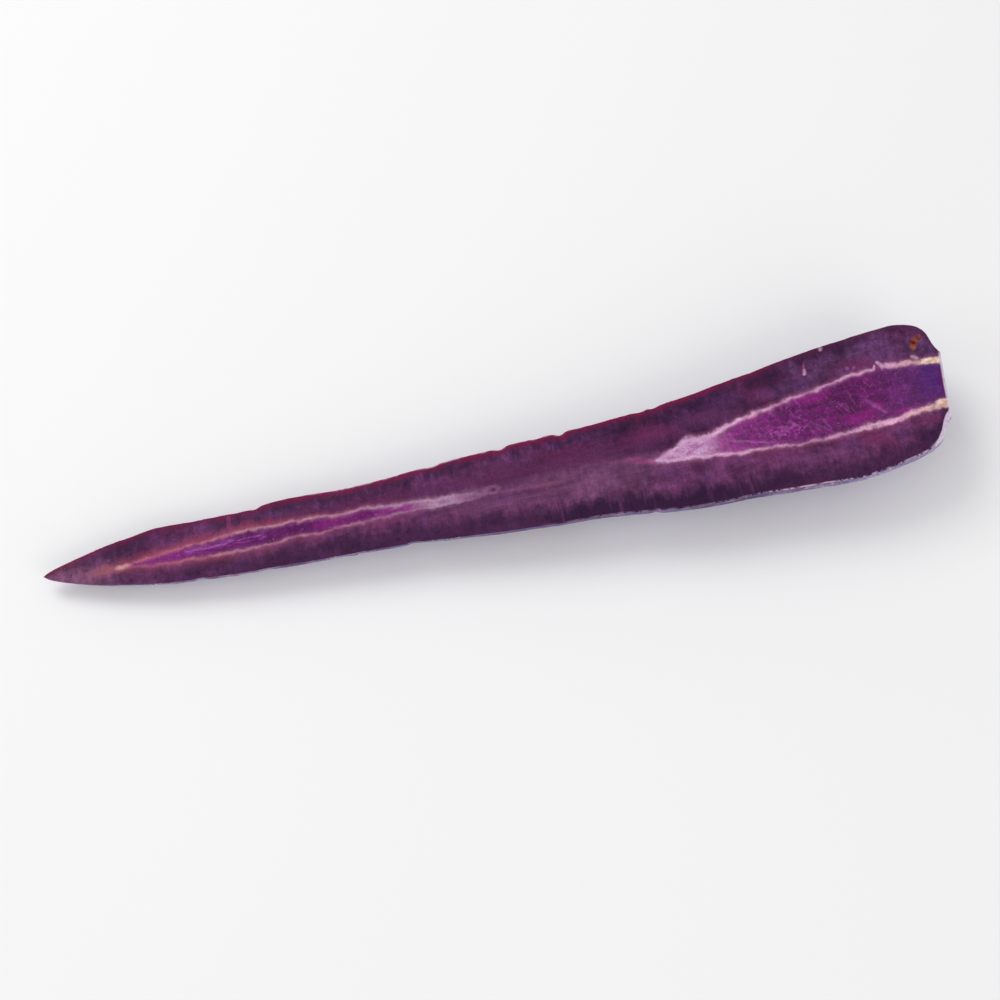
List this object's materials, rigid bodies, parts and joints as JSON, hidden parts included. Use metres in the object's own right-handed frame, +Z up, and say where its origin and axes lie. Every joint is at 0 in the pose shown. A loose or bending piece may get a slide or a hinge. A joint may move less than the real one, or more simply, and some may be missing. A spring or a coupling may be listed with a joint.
{
  "type": "purple carrot half",
  "caption": "Tapered purple carrot root halved lengthwise, trimmed at the crown, lying on its skin with the cut face up.",
  "frame": {"origin": "centre of the part's box on the surface that it rests on", "axes": "+X along the root from its tip to its trimmed crown, +Z up, so the cut face looks up and leans 3.5 degrees down towards the tip"},
  "size_m": [0.2156, 0.0354, 0.0176],
  "materials": {
    "root_flesh": "moist raw vegetable flesh with a dry violet skin"
  },
  "bodies": {
    "root": {"carrot_half": "root_flesh"}
  },
  "joints": []
}
